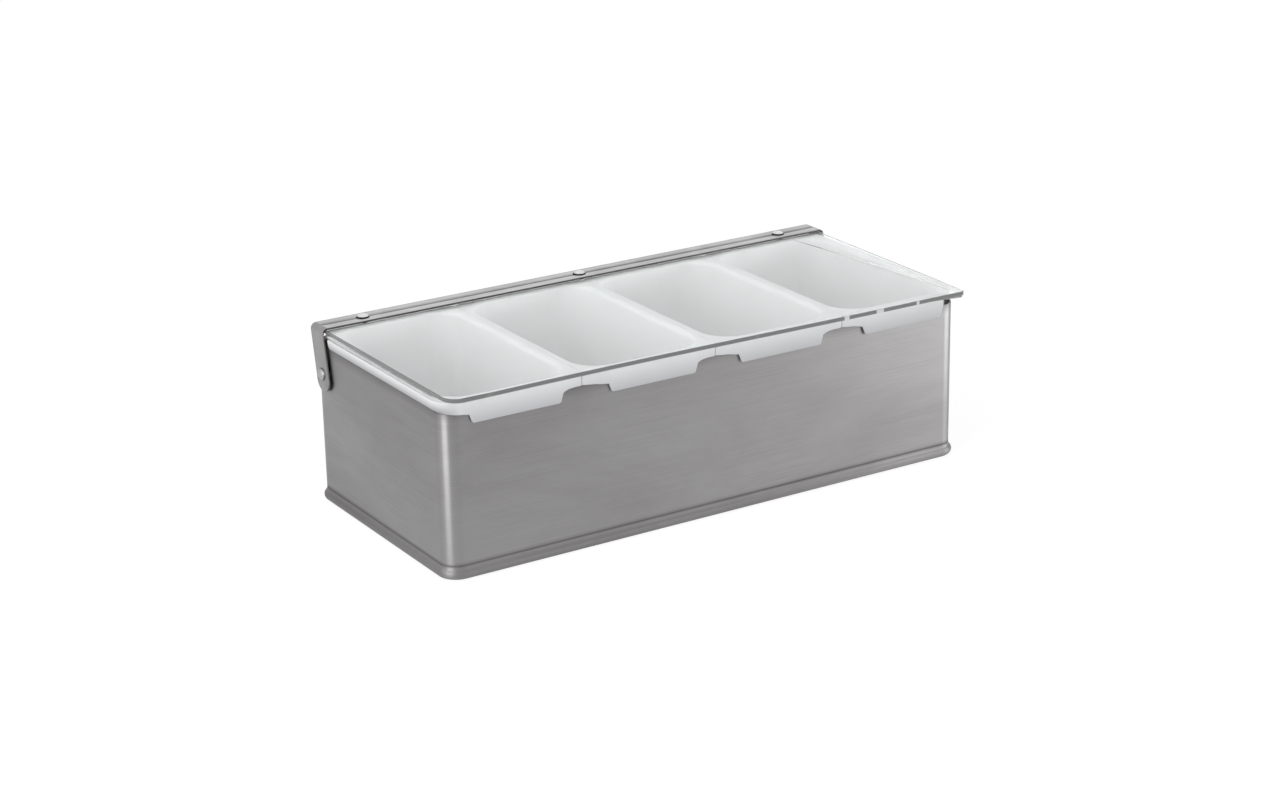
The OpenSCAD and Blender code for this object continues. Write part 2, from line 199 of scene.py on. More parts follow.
def brushedStainless(name, look):
    # stainless steel: fine lines along the brushing, a sheen that is narrow along them and
    # wide across, and faint clouds where cloths have been
    material, tree = newMaterial(name)
    place = addNode(tree, "ShaderNodeTexCoord")
    lineMap = addNode(tree, "ShaderNodeMapping", {"Scale": patternScale(look["lineSize"])},
                      {"Vector": place.outputs["Object"]})
    lines = addNode(tree, "ShaderNodeTexNoise", {"Scale": 1, "Detail": 3, "Roughness": 0.6},
                    {"Vector": lineMap.outputs[0]})
    cloudMap = addNode(tree, "ShaderNodeMapping", {"Scale": patternScale(look["cloudSize"])},
                       {"Vector": place.outputs["Object"]})
    clouds = addNode(tree, "ShaderNodeTexNoise",
                     {"Scale": 1, "Detail": 5, "Roughness": 0.62, "Distortion": 0.6},
                     {"Vector": cloudMap.outputs[0]})
    lineTint = addNode(tree, "ShaderNodeMapRange",
                       {"From Min": 0.3, "From Max": 0.7, "To Min": 0, "To Max": look["lineTint"]},
                       {"Value": lines.outputs[0]})
    cloudTint = addNode(tree, "ShaderNodeMapRange",
                        {"From Min": 0.35, "From Max": 0.65, "To Min": 0, "To Max": look["cloudTint"]},
                        {"Value": clouds.outputs[0]})
    tint = addNode(tree, "ShaderNodeMath", {"operation": "ADD"},
                   {0: lineTint.outputs[0], 1: cloudTint.outputs[0]})
    if "bands" in look:  # painted shade: darker bands across one axis, such as at a rolled foot
        axis, start, end, shades = look["bands"]
        sides = addNode(tree, "ShaderNodeSeparateXYZ", links={0: place.outputs["Object"]})
        share = addNode(tree, "ShaderNodeMapRange", {"From Min": start*mm, "From Max": end*mm},
                        {"Value": sides.outputs[axis]})
        bands = addNode(tree, "ShaderNodeValToRGB", links={0: share.outputs[0]})
        stops = bands.color_ramp.elements
        for spot, (position, grey) in enumerate(shades):
            stop = stops[spot] if spot < 2 else stops.new(position)  # a new ramp has two stops
            stop.position = position
            stop.color = (grey, grey, grey, 1)
        tint = addNode(tree, "ShaderNodeMath", {"operation": "ADD"},
                       {0: tint.outputs[0], 1: bands.outputs[0]})
    colour = addNode(tree, "ShaderNodeMix",
                     {"data_type": "RGBA", "clamp_factor": False, 6: hexToLinear(look["light"]),
                      7: hexToLinear(look["dark"])}, {0: tint.outputs[0]})
    gloss = addNode(tree, "ShaderNodeMapRange",
                    {"From Min": 0.35, "From Max": 0.65, "To Min": look["roughness"][0],
                     "To Max": look["roughness"][1]}, {"Value": clouds.outputs[0]})
    if "bandDull" in look:  # the steel is rougher too where the bands paint shade
        gloss = addNode(tree, "ShaderNodeMath", {"operation": "MULTIPLY_ADD", 1: look["bandDull"]},
                        {0: bands.outputs[0], 2: gloss.outputs[0]})
    bump = addNode(tree, "ShaderNodeBump", {"Strength": look["bump"], "Distance": brushDepth*mm},
                   {"Height": lines.outputs[0]})
    around = addNode(tree, "ShaderNodeTangent",
                     {"direction_type": "RADIAL", "axis": look["grainAxis"]})
    shader = addNode(tree, "ShaderNodeBsdfPrincipled",
                     {"Metallic": 1, "Anisotropic": look["anisotropy"], "Anisotropic Rotation": 0.25},
                     {"Base Color": colour.outputs[2], "Roughness": gloss.outputs[0],
                      "Normal": bump.outputs[0], "Tangent": around.outputs[0]})
    addNode(tree, "ShaderNodeOutputMaterial", links={"Surface": shader.outputs[0]})
    return material


# Marks are given by their sizes along X, Y and Z in mm. Real brush lines lie about 0.05 mm
# apart, too fine to show in the render, so they are drawn 0.4 to 1.1 mm apart. A tint of 0
# gives the light colour and 1 the dark one; bands of painted shade are (axis, from, to, tints along it)
brushDepth = 0.05
# 304 sheet, belt-brushed along its length: mid grey with a soft sheen down the walls and wipe
# marks. Painted shade darkens the foot, the crease above it and the top under the lips, which are
# duller too
wallSteelLook = {
    "light": "#939292", "dark": "#7e7c7c", "lineSize": (71.43, 71.43, 0.4167),
    "cloudSize": (111.1, 111.1, 45.45), "lineTint": 0.4, "cloudTint": 0.45,
    "roughness": (0.38, 0.45), "bump": 0.12, "anisotropy": 0.75, "grainAxis": "Z",
    # painted shade up Z: the foot to 9 mm, a dark line in the crease at 6.5 to 7.6 mm, and the top from
    # 78 mm
    "bands": ("Z", 0, 90, ((0.0, 0.5), (0.065, 0.25), (0.072, 0.5), (0.077, 1.1),
                           (0.084, 0.4), (0.1, 0), (0.87, 0), (0.94, 0.5))),
    "bandDull": 0.4,
}
# cold-rolled 304 strip top: smoother, painted light as lit from above, painted shade along the pressed
# line
litStripTopLook = {
    "light": "#c9caca", "dark": "#a8a8a8", "lineSize": (40, 0.5556, 0.5556),
    "cloudSize": (25, 25, 25), "lineTint": 0.4, "cloudTint": 0.4,
    "roughness": (0.3, 0.38), "bump": 0.12, "anisotropy": 0.6, "grainAxis": "X",
    "bands": ("Y", 52.3, 65.5, ((0.0, 0.1), (0.4, 0), (0.47, 1.8), (0.53, 1.8),
                                (0.6, 0.6), (0.75, 0.2), (1.0, 0.2))),
}
# the same strip at its ears and underside, without the top's painted light: greyer, and duller where
# bent and handled
stripSteelLook = {
    "light": "#9b9a9a", "dark": "#8a8989", "lineSize": (40, 0.5556, 0.5556),
    "cloudSize": (25, 25, 25), "lineTint": 0.4, "cloudTint": 0.5,
    "roughness": (0.34, 0.42), "bump": 0.12, "anisotropy": 0.5, "grainAxis": "X",
}
# its sheared front edge: rough, and painted nearly black as the shade along it, beside the bright top
stripEdgeShadeLook = {
    "light": "#5e5a59", "dark": "#4b4847", "lineSize": (3.333, 3.333, 0.6667),
    "cloudSize": (5, 5, 5), "lineTint": 0.5, "cloudTint": 0.5,
    "roughness": (0.45, 0.55), "bump": 0.3, "anisotropy": 0, "grainAxis": "Z",
}
# mill-finished 304 of the base plate, washers and spacers: plain, even and a bit cloudy
plainSteelLook = {
    "light": "#a0a1a1", "dark": "#888989", "lineSize": (33.33, 1.111, 1.111),
    "cloudSize": (50, 50, 50), "lineTint": 0.4, "cloudTint": 0.6,
    "roughness": (0.4, 0.5), "bump": 0.2, "anisotropy": 0.3, "grainAxis": "Z",
}
# tumbled stainless rivets: smooth domes, painted near white as the lid rivets' highlight, with a
# ring of painted shade round the lower dome, its shares running from the rim to the top
rivetSteelLook = {
    "light": "#f2f2f2", "dark": "#c8c9c9", "lineSize": (2.5, 2.5, 2.5),
    "cloudSize": (3.333, 3.333, 3.333), "lineTint": 0.4, "cloudTint": 0.5,
    "roughness": (0.2, 0.28), "bump": 0.1, "anisotropy": 0, "grainAxis": "Z",
}
headShadeRing = ((0.0, 3.0), (0.25, 2.6), (0.45, 0.2), (1.0, 0))
# the pivot rivets: the same steel painted darker as shade on their side-facing heads, and rougher
pivotShadedSteelLook = dict(rivetSteelLook, light="#b4b5b5", dark="#a0a1a1", roughness=(0.3, 0.4))
wallSteel = brushedStainless("brushedStainlessWall", wallSteelLook)
litStripTop = brushedStainless("brushedStainlessStripTopLit", litStripTopLook)
stripSteel = brushedStainless("brushedStainlessStrip", stripSteelLook)
stripEdgeShade = brushedStainless("stripEdgePaintedShade", stripEdgeShadeLook)
plainSteel = brushedStainless("millStainless", plainSteelLook)


def mouldedPolypropylene(name, look):
    # injection-moulded polypropylene: milky white and satin, with light that spreads inside it and
    # a fine grain, and bands of painted shade that grey it downwards and sideways
    material, tree = newMaterial(name)
    place = addNode(tree, "ShaderNodeTexCoord")
    clouds = addNode(tree, "ShaderNodeTexNoise",
                     {"Scale": 1/(look["cloudSize"]*mm), "Detail": 4, "Roughness": 0.55},
                     {"Vector": place.outputs["Object"]})
    grain = addNode(tree, "ShaderNodeTexNoise",
                    {"Scale": 1/(look["grainSize"]*mm), "Detail": 2, "Roughness": 0.5},
                    {"Vector": place.outputs["Object"]})
    colour = addNode(tree, "ShaderNodeMix",
                     {"data_type": "RGBA", 6: hexToLinear(look["light"]),
                      7: hexToLinear(look["dark"])}, {0: clouds.outputs[0]})
    sides = addNode(tree, "ShaderNodeSeparateXYZ", links={0: place.outputs["Object"]})
    # painted shade: each band greys the colour from its first Z down to its second, and from its first
    # X to its second
    for paintedShade, highZ, lowZ, fromX, toX in look["paintedShade"]:
        downwards = addNode(tree, "ShaderNodeMapRange", {"From Min": highZ*mm, "From Max": lowZ*mm},
                            {"Value": sides.outputs["Z"]})
        sideways = addNode(tree, "ShaderNodeMapRange", {"From Min": fromX*mm, "From Max": toX*mm},
                           {"Value": sides.outputs["X"]})
        share = addNode(tree, "ShaderNodeMath", {"operation": "MULTIPLY"},
                        {0: downwards.outputs[0], 1: sideways.outputs[0]})
        colour = addNode(tree, "ShaderNodeMix", {"data_type": "RGBA", 7: hexToLinear(paintedShade)},
                         {0: share.outputs[0], 6: colour.outputs[2]})
    gloss = addNode(tree, "ShaderNodeMapRange",
                    {"From Min": 0.3, "From Max": 0.7, "To Min": look["roughness"][0],
                     "To Max": look["roughness"][1]}, {"Value": clouds.outputs[0]})
    bump = addNode(tree, "ShaderNodeBump", {"Strength": look["bump"], "Distance": grainDepth*mm},
                   {"Height": grain.outputs[0]})
    shader = addNode(tree, "ShaderNodeBsdfPrincipled",
                     {"subsurface_method": "BURLEY", "IOR": 1.49,
                      "Subsurface Weight": look["subsurface"],
                      "Subsurface Radius": mmPoint(5, 5, 5), "Subsurface Scale": 1},
                     {"Base Color": colour.outputs[2], "Roughness": gloss.outputs[0],
                      "Normal": bump.outputs[0]})
    addNode(tree, "ShaderNodeOutputMaterial", links={"Surface": shader.outputs[0]})
    return material


# The real grain is about 0.2 mm, and is drawn at 0.56 mm so that it shows. A band of painted
# shade is (colour, from Z, to Z, from X, to X), full at both second values
grainDepth = 0.1
# the wells and the rim: thick walls that glow, with an even satin sheen
bodyPlasticLook = {
    "light": "#f2f3f3", "dark": "#e8e9e9", "cloudSize": 16.67, "grainSize": 0.5556,
    "roughness": (0.34, 0.44), "bump": 0.06, "subsurface": 0.6, "paintedShade": (),
}
# the lip and the tabs: the same plastic painted greyer as shade on these upright faces, and duller
shadedLipPlasticLook = {
    "light": "#e9eaeb", "dark": "#e0e1e2", "cloudSize": 16.67, "grainSize": 0.5556,
    "roughness": (0.45, 0.55), "bump": 0.06, "subsurface": 0.1,
    # painted shade: greyer down the front lips and tabs, and down the left end lip
    "paintedShade": (("#b7b8bb", 87, 76.5, -151, -150), ("#97989a", 88.6, 84.2, -142, -150.5)),
}
bodyPlastic = mouldedPolypropylene("mouldedPolypropyleneBody", bodyPlasticLook)
shadedLipPlastic = mouldedPolypropylene("mouldedPolypropyleneLipShaded", shadedLipPlasticLook)


# Cast acrylic. Its polished faces are clear, with faint smears in the gloss. Its front and left
# sawn edges are painted grey, as the dark seen along the plate from its edge, with lighter saw
# marks and spots of painted light where light shows through, each (middle X, half its width)
acrylicLook = {
    "tint": "#fbfdfd", "ior": 1.49, "smear": (0.0, 0.03), "smearSize": 55.56,
    "edge": "#868888", "edgeLight": "#b9bcbc", "edgeRoughness": 0.3, "edgeClear": 0.25,
    "sawSize": (11.11, 11.11, 33.33), "sawTint": 0.6,
    "litSpots": ((74.4, 1.5), (94.9, 2.2), (118.6, 0.9)), "litSpotColour": "#f4f5f5",
}
clearAcrylic, tree = newMaterial("clearCastAcrylic")
place = addNode(tree, "ShaderNodeTexCoord")
smears = addNode(tree, "ShaderNodeTexNoise",
                 {"Scale": 1/(acrylicLook["smearSize"]*mm), "Detail": 4, "Roughness": 0.6},
                 {"Vector": place.outputs["Object"]})
gloss = addNode(tree, "ShaderNodeMapRange",
                {"From Min": 0.45, "From Max": 0.75, "To Min": acrylicLook["smear"][0],
                 "To Max": acrylicLook["smear"][1]}, {"Value": smears.outputs[0]})
polished = addNode(tree, "ShaderNodeBsdfPrincipled",
                   {"Base Color": hexToLinear(acrylicLook["tint"]), "IOR": acrylicLook["ior"],
                    "Transmission Weight": 1}, {"Roughness": gloss.outputs[0]})
clear = addNode(tree, "ShaderNodeBsdfTransparent")
rays = addNode(tree, "ShaderNodeLightPath")
passing = addNode(tree, "ShaderNodeMixShader",  # light falls through the lid on what is under it
                  links={0: rays.outputs["Is Shadow Ray"], 1: polished.outputs[0],
                         2: clear.outputs[0]})
addNode(tree, "ShaderNodeOutputMaterial", links={"Surface": passing.outputs[0]})

acrylicEdge, tree = newMaterial("acrylicEdgePaintedShade")
place = addNode(tree, "ShaderNodeTexCoord")
sawMap = addNode(tree, "ShaderNodeMapping", {"Scale": patternScale(acrylicLook["sawSize"])},
                 {"Vector": place.outputs["Object"]})
sawMarks = addNode(tree, "ShaderNodeTexNoise", {"Scale": 1, "Detail": 3, "Roughness": 0.6},
                   {"Vector": sawMap.outputs[0]})
shine = addNode(tree, "ShaderNodeMapRange",
                {"From Min": 0.6, "From Max": 0.75, "To Min": 0, "To Max": acrylicLook["sawTint"]},
                {"Value": sawMarks.outputs[0]})
colour = addNode(tree, "ShaderNodeMix",
                 {"data_type": "RGBA", 6: hexToLinear(acrylicLook["edge"]),
                  7: hexToLinear(acrylicLook["edgeLight"])}, {0: shine.outputs[0]})
sides = addNode(tree, "ShaderNodeSeparateXYZ", links={0: place.outputs["Object"]})
# painted light: near-white spots on the edge where light shows through
for litSpotX, litSpotHalf in acrylicLook["litSpots"]:
    litSpot = addNode(tree, "ShaderNodeMath", {"operation": "COMPARE", 1: litSpotX*mm, 2: litSpotHalf*mm},
                   {0: sides.outputs["X"]})
    colour = addNode(tree, "ShaderNodeMix",
                     {"data_type": "RGBA", 7: hexToLinear(acrylicLook["litSpotColour"])},
                     {0: litSpot.outputs[0], 6: colour.outputs[2]})
shader = addNode(tree, "ShaderNodeBsdfPrincipled",
                 {"IOR": acrylicLook["ior"], "Roughness": acrylicLook["edgeRoughness"],
                  "Transmission Weight": acrylicLook["edgeClear"]},
                 {"Base Color": colour.outputs[2]})
addNode(tree, "ShaderNodeOutputMaterial", links={"Surface": shader.outputs[0]})
print("stage: materials made")


# Housing: one sheet drawn as a section at the middle of the front, carried round the
# right half, cut down at the rear, mirrored and given its thickness

housing = {
    "length": 300, "depth": 136, "height": 87.7, "corner": 9, "sheet": 0.7,
    "flareRadius": 3, "flareAngle": 45, "beadRadius": 2.6, "footIn": 4,
    "flareSteps": 6, "beadSteps": 14, "cornerSteps": 14,
    "slopeStart": (59, 87.7), "slopeEnd": (68, 84.24), "cornerDrop": 4.7, "edgeRound": 0.15,
    "pivot": (55.3, 69.25), "pivotHole": 2.05,
}


def wallSection():
    # (outwards, up) from the top edge down to the end of the turned-in foot
    flare, bead = housing["flareRadius"], housing["beadRadius"]
    lean = radians(housing["flareAngle"])
    footTop = flare*sin(lean) + bead*(1 + sin(lean))
    beadMiddle = (flare + bead)*(1 - cos(lean)) - bead
    points = [(0, housing["height"])]
    for step in range(housing["flareSteps"] + 1):
        turn = radians(180) + lean*step/housing["flareSteps"]
        points.append((flare + flare*cos(turn), footTop + flare*sin(turn)))
    for step in range(1, housing["beadSteps"] + 1):
        turn = lean - (lean + radians(90))*step/housing["beadSteps"]
        points.append((beadMiddle + bead*cos(turn), bead + bead*sin(turn)))
    points.append((-housing["footIn"], 0))
    return points


def buildHousing():
    halfLength, halfDepth = housing["length"]/2, housing["depth"]/2
    corner = housing["corner"]
    section = [(0, -halfDepth - outwards, up) for outwards, up in wallSection()]
    piece = startPiece("steelHousing", *section[0])
    drawChain(section, closed=False)
    pickAll()
    extrudeBy(halfLength - corner, 0, 0)
    for turn, run in (((halfLength - corner, corner - halfDepth), (0, 2*(halfDepth - corner))),
                      ((halfLength - corner, halfDepth - corner), (corner - halfLength, 0))):
        bpy.ops.mesh.spin(steps=housing["cornerSteps"], angle=radians(-90),
                          center=mmPoint(*turn, 0), axis=(0, 0, 1))
        extrudeBy(*run, 0)
    pickAll()
    bpy.ops.mesh.remove_doubles(threshold=same*mm)
    bpy.ops.mesh.normals_make_consistent(inside=False)
    startY, startZ = housing["slopeStart"]
    endY, endZ = housing["slopeEnd"]  # the rear wall is lower, and the end walls slope down to it
    bpy.ops.mesh.bisect(plane_co=mmPoint(0, startY, startZ),
                        plane_no=Vector((0, startZ - endZ, endY - startY)).normalized(),
                        clear_outer=True)
    # the top edge steps down round the front corner
    low, start = housing["height"] - housing["cornerDrop"], halfLength - corner
    for place, way in (((0, 0, low), (0, 0, 1)), ((start, 0, 0), (1, 0, 0)),
                       ((0, corner - halfDepth, 0), (0, 1, 0))):
        pickAll()
        bpy.ops.mesh.bisect(plane_co=mmPoint(*place), plane_no=way)
    pick("FACE", lambda p, n: p.x > start and p.y < corner - halfDepth and p.z > low)
    bpy.ops.mesh.delete(type="FACE")
    bpy.ops.object.mode_set(mode="OBJECT")
    useModifier("MIRROR", use_axis=(True, False, False), use_clip=True, merge_threshold=same*mm)
    frontMiddle = mmPoint(0, -halfDepth, housing["height"]/2)
    front = min(piece.data.polygons, key=lambda face: (face.center - frontMiddle).length)
    if front.normal.y > 0:
        piece.data.flip_normals()
    useModifier("SOLIDIFY", thickness=housing["sheet"]*mm, offset=-1, use_even_offset=True)
    useModifier("BEVEL", width=housing["edgeRound"]*mm, segments=2, limit_method="ANGLE",
                angle_limit=radians(60))
    cutRound(housing["pivotHole"], housing["length"] + overrun, (0, *housing["pivot"]),
             (0, radians(90), 0))
    settle(piece, "housing", "housing_steel", [wallSteel], "housing_wall")


buildHousing()
print("stage: housing made")


# Inserts: the rim is drawn on its top face with the well's mouth in it, the well goes
# down, the sheet gets thick, and the lip and the pull tab grow from the rim's underside

insert = {
    "pitch": 75.675, "halfWidth": 37.835, "front": -69.2, "rear": 57.351, "top": 89.05,
    "corner": 1.2, "lipRun": 2.5, "rearCorner": 3, "skin": 1.15, "arcSteps": 7,
    "firstCorner": 10.2, "firstStep": (-149, 48),
    "lastRight": 149, "lastCorner": 9, "lastLipEnd": 139.5, "lastWellIn": 1.2,
    "wellHalf": 33.74, "wellFront": -65.7, "wellRear": 54.3, "wellCorner": 14.8, "wellSteps": 8,
    "mouthRound": 2.4, "mouthSteps": 6,
    "wellBottom": 1.95, "wellDraft": 3.2, "floorRound": 12.6, "floorSteps": 9,
    "lipThick": 0.9, "lipLow": 83.6, "endLipLow": 84.6, "firstLipDip": 2.2,
    "endLipRound": 3.2, "endLipSteps": 6,
    "tabBottom": 77.4, "tabStandOff": 0.5, "tabIn": (1.3, 1.9), "tabRound": 0.9, "tabSteps": 3,
    "tabShift": {1: 0.5, 2: 0.5, 3: -0.6, 4: -1.4},
    "rimRound": 0.4, "rimSteps": 4, "edgeRound": 0.2, "edgeSteps": 2,
    "greyFront": 1, "greyCorner": 8,  # how far the plastic painted greyer as shade reaches back
}
# the lip's lower edge as (x from the insert's left side, z), with the tab's two roots
lipLine = {
    "left": [(2.7, 83.4), (7, 82.9), (11, 82.1)],
    "firstLeft": [(12, 82.2)],
    "tab": [(14.4, 81.6), (65.0, 82.1)],
    "right": [(66.0, 82.7), (68.0, 83.3), (71, 83.6)],
}


def near(value, target, within=same):
    return abs(value - target) < within


def layOutInsert(number):
    # the sizes that differ from one insert to the next
    middle = (number - 2.5)*insert["pitch"]
    first, last = number == 1, number == 4
    left, right = middle - insert["halfWidth"], middle + insert["halfWidth"]
    corner = insert["firstCorner"] if first else insert["corner"]
    shift = insert["tabShift"][number]
    line = [(left + x, z) for x, z in lipLine["firstLeft" if first else "left"]]
    tab = [(left + x + shift, z) for x, z in lipLine["tab"]]
    line += tab + [(left + x + shift, z) for x, z in lipLine["right"]]
    if last:
        right = insert["lastRight"]
        line = [spot for spot in line if spot[0] < insert["lastLipEnd"]]
    wellIn = insert["lastWellIn"] if last else 0
    lipEndY = insert["front"] + insert["lipRun"]
    return {
        "first": first, "last": last, "left": left, "right": right, "leftCorner": corner,
        "line": line, "tab": tab, "lipRear": insert["firstStep"][1] if first else lipEndY,
        "lipEndX": insert["lastLipEnd"] if last else right, "lipEndY": lipEndY,
        "wellX": middle - wellIn/2, "wellHalf": insert["wellHalf"] - wellIn/2,
        "wellY": (insert["wellFront"] + insert["wellRear"])/2,
        "wellDeep": (insert["wellRear"] - insert["wellFront"])/2,
    }


def drawRim(number, at):
    # the rim's flat top without the strip that the lip hangs from, in two halves
    top, front, rear, thick = insert["top"], insert["front"], insert["rear"], insert["lipThick"]
    left, right, middle = at["left"], at["right"], at["wellX"]
    outline = [(left + thick, front + thick)] + [(x, front + thick) for x, z in at["line"]]
    if at["last"]:
        outline += [(at["lipEndX"], front + thick), (at["lipEndX"], front), (right, front)]
    else:
        outline += [(right - thick, front + thick), (right - thick, at["lipEndY"])]
        outline += [(right, at["lipEndY"])]
    outline += [(right, rear)]
    if at["first"]:
        outline += [(insert["firstStep"][0], rear), insert["firstStep"], (left, at["lipRear"])]
    else:
        outline += [(left, rear), (left, at["lipRear"])]
    outline += [(left + thick, at["lipRear"])]
    piece = startPiece("plasticInsert%d" % number, *outline[0], top)
    drawChain([(x, y, top) for x, y in outline])
    leftRear = insert["firstStep"][0] if at["first"] else left  # the first rim steps in there
    corners = [(left + thick, front + thick, at["leftCorner"] - thick),
               (right, rear, insert["rearCorner"]), (leftRear, rear, insert["rearCorner"])]
    if at["last"]:
        corners.append((right, front, insert["lastCorner"]))
    else:
        corners.append((right - thick, front + thick, insert["corner"] - thick))
    for x, y, radius in corners:
        pick("VERT", lambda p, n: near(p.x, x) and near(p.y, y))
        roundOff("VERTICES", radius, insert["arcSteps"])
    bpy.ops.mesh.select_all(action="DESELECT")
    bpy.ops.mesh.primitive_plane_add(size=2*mm, location=mmPoint(at["wellX"], at["wellY"], top))
    bpy.ops.transform.resize(value=(at["wellHalf"], at["wellDeep"], 1),
                             center_override=mmPoint(at["wellX"], at["wellY"], top))
    roundOff("VERTICES", insert["wellCorner"], insert["wellSteps"])
    bpy.ops.mesh.delete(type="ONLY_FACE")
    pick("EDGE", lambda p, n: True)
    bpy.ops.mesh.fill(use_beauty=True)
    for side in (-1, 1):
        pick("FACE", lambda p, n: (p.x - middle)*side > 0)
        bpy.ops.mesh.dissolve_faces()
    return piece


def drawLipStrip(at):
    # the strip of the rim above the lip, drawn out from the flat top: it is raised while
    # its points are moved, so that they can be told from the rim's
    top, front, thick = insert["top"], insert["front"], insert["lipThick"]
    left, right, raised = at["left"], at["right"], insert["top"] + 1
    corners = [(left + at["leftCorner"], front + at["leftCorner"], at["leftCorner"], -1)]
    if not at["last"]:
        corners.append((right - insert["corner"], front + insert["corner"], insert["corner"], 1))

    def atCorner(p, x, y, side):
        return (p.x - x)*side > same and p.y < y + same

    def onArc(p, x, y, radius):
        return near(sqrt((p.x - x)**2 + (p.y - y)**2), radius - thick, 0.1)

    def onStrip(p, n):
        if any(atCorner(p, x, y, side) and onArc(p, x, y, radius) for x, y, radius, side in corners):
            return True
        onLeft = near(p.x, left + thick) and p.y < at["lipRear"]
        onRight = near(p.x, right - thick) and p.y < front + insert["lipRun"] and not at["last"]
        return near(p.y, front + thick) and abs(n.x) > 0.9 or (onLeft or onRight) and abs(n.y) > 0.9

    pick("EDGE", onStrip)
    extrudeBy(0, 0, raised - top)
    pick("VERT", lambda p, n: near(p.z, raised) and near(p.y, front + thick)
         and not any(atCorner(p, x, y, side) for x, y, radius, side in corners))
    bpy.ops.transform.translate(value=mmPoint(0, -thick, 0))
    for x, y, radius, side in corners:
        pick("VERT", lambda p, n: near(p.z, raised) and atCorner(p, x, y, side))
        bpy.ops.transform.resize(value=(radius/(radius - thick), radius/(radius - thick), 1),
                                 center_override=mmPoint(x, y, raised))
        pick("VERT", lambda p, n: near(p.z, raised) and near((p.x - x)*side, radius - thick)
             and p.y > y + same)
        bpy.ops.transform.translate(value=mmPoint(thick*side, 0, 0))
    pick("VERT", lambda p, n: near(p.z, raised))
    bpy.ops.transform.translate(value=mmPoint(0, 0, top - raised))
    pickAll()
    bpy.ops.mesh.remove_doubles(threshold=same*mm)


def sinkWell(at):
    # down to the floor, drawn in all round, with a round bottom edge and a round mouth
    top, bottom, draft = insert["top"], insert["wellBottom"], insert["wellDraft"]
    corner, half, deep = insert["wellCorner"], at["wellHalf"], at["wellDeep"]

    def onMouth(p, n):
        x, y = abs(p.x - at["wellX"]) - half + corner, abs(p.y - at["wellY"]) - deep + corner
        if x > 0 and y > 0:
            return near(sqrt(x*x + y*y), corner, 0.15)
        return near(max(x, y), corner, 0.05) and min(x, y) < 0

    pick("EDGE", onMouth)
    extrudeBy(0, 0, bottom - top)
    bpy.ops.transform.resize(value=(1 - draft/half, 1 - draft/deep, 1),
                             center_override=mmPoint(at["wellX"], at["wellY"], top))
    bpy.ops.mesh.edge_face_add()
    pick("EDGE", lambda p, n: p.z < bottom + 0.1)
    roundOff("EDGES", insert["floorRound"], insert["floorSteps"])
    pick("EDGE", lambda p, n: near(p.z, top) and onMouth(p, n))
    roundOff("EDGES", insert["mouthRound"], insert["mouthSteps"])


def hangLip(at):
    # down from the strip's underside, with its lower edge at the heights of the line
    under, front, thick = insert["top"] - insert["skin"], insert["front"], insert["lipThick"]
    left, corner, low = at["left"], at["leftCorner"], insert["endLipLow"]

    def onStrip(p, n):
        x, y = left + corner, front + corner
        if not near(p.z, under) or n.z > 0:
            return False
        if p.x < x and p.y < y:
            return sqrt((p.x - x)**2 + (p.y - y)**2) > corner - thick
        x, y = at["right"] - insert["corner"], front + insert["corner"]
        if p.x > x and p.y < y and not at["last"]:
            return sqrt((p.x - x)**2 + (p.y - y)**2) > insert["corner"] - thick
        endsHere = p.x < left + thick and p.y < at["lipRear"]
        endsThere = p.x > at["right"] - thick and p.y < at["lipEndY"] and not at["last"]
        return endsHere or endsThere or p.y < front + thick and p.x < at["lipEndX"]

    pick("FACE", onStrip)
    extrudeBy(0, 0, low - under)
    lowered = list(at["line"])
    if at["last"]:
        lowered.append((at["lipEndX"], insert["lipLow"]))
    for x, z in lowered:
        pick("VERT", lambda p, n: near(p.x, x, 0.02) and near(p.z, low))
        bpy.ops.transform.translate(value=mmPoint(0, 0, z - low))
    if at["first"]:
        for step in range(insert["arcSteps"] + 1):
            share = step/insert["arcSteps"]
            turn = radians(90)*share
            pick("VERT", lambda p, n: near(p.z, low) and p.x < left + corner + same
                 and p.y < front + corner + same
                 and near(atan2(left + corner - p.x, front + corner - p.y), turn, 0.03))
            bpy.ops.transform.translate(value=mmPoint(0, 0, -insert["firstLipDip"]*(1 - share)))
    pick("VERT", lambda p, n: near(p.z, low) and not (at["first"] and p.x < left + corner + 0.1))
    bpy.ops.transform.translate(value=mmPoint(0, 0, insert["lipLow"] - low))


def drawTab(at):
    # down from the lip's lower edge between the tab's roots, a little outwards
    (leftRoot, leftZ), (rightRoot, rightZ) = at["tab"]
    bottom = insert["tabBottom"]
    pick("FACE", lambda p, n: n.z < -0.5 and near(p.x, (leftRoot + rightRoot)/2, 0.5)
         and near(p.z, leftZ, 2))
    extrudeBy(0, -insert["tabStandOff"], bottom - (leftZ + rightZ)/2)
    for x, inwards in zip((leftRoot, rightRoot), (insert["tabIn"][0], -insert["tabIn"][1])):
        pick("VERT", lambda p, n: near(p.x, x, 0.02) and p.z < bottom + 2)
        bpy.ops.transform.translate(value=mmPoint(inwards, 0, 0))
    pick("VERT", lambda p, n: near(p.z, bottom, 2) and p.y < insert["front"] + 1)
    bpy.ops.transform.resize(value=(1, 1, 0), center_override=mmPoint(0, 0, bottom))
    pick("EDGE", lambda p, n: near(p.z, bottom) and abs(n.y) > 0.9 and p.y < insert["front"] + 1)
    roundOff("EDGES", insert["tabRound"], insert["tabSteps"])


